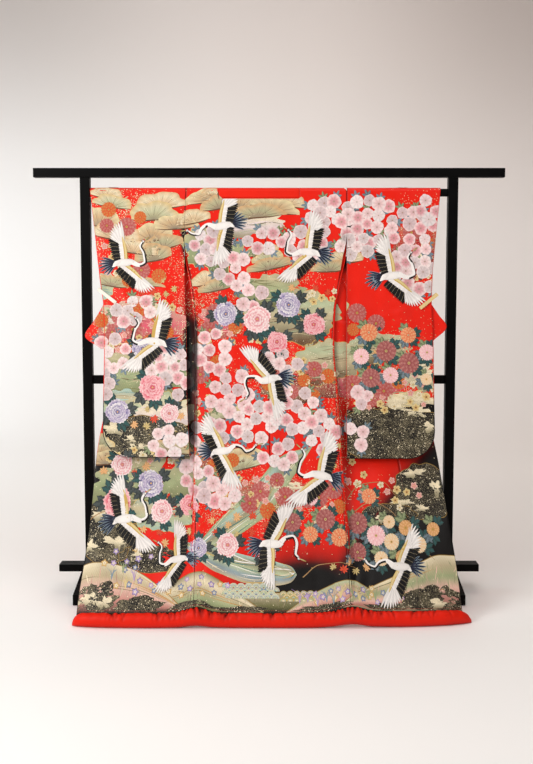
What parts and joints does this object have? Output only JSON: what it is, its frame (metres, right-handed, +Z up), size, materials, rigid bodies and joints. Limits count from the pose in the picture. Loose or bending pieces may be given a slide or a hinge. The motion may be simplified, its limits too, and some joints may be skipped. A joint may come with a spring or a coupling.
{
  "type": "uchikake wedding kimono on kimono stand",
  "caption": "Long-sleeved red silk uchikake wedding kimono with a padded hem, hung back outwards on a black lacquered kimono stand, its hem spread forward on the floor.",
  "frame": {"origin": "on the floor, at the middle of the bounding box of the stand and the kimono together", "axes": "+Z is up, +X runs along the stand's rails to the wearer's right sleeve, and the kimono's back faces -Y"},
  "size_m": [1.8, 0.7286, 1.644],
  "materials": {
    "stand_lacquer": "black satin lacquer",
    "silk_brocade": "red figured silk satin with woven and gold-thread motifs",
    "red_silk": "plain red silk",
    "peg_wood": "bare pale wood"
  },
  "bodies": {
    "root": {"stand_top_rail": "stand_lacquer", "stand_hang_rail": "stand_lacquer", "stand_mid_rail": "stand_lacquer", "stand_lower_rail": "stand_lacquer", "stand_post_left": "stand_lacquer", "stand_post_right": "stand_lacquer", "stand_foot_left": "stand_lacquer", "stand_foot_right": "stand_lacquer", "body_left": "silk_brocade", "body_right": "silk_brocade", "okumi_left": "silk_brocade", "okumi_right": "silk_brocade", "sleeve_left": "silk_brocade", "sleeve_right": "silk_brocade", "sleeve_tuck_left": "silk_brocade", "sleeve_tuck_right": "silk_brocade", "collar": "red_silk", "hem_roll": "red_silk", "peg_left": "peg_wood", "peg_right": "peg_wood"}
  },
  "joints": []
}
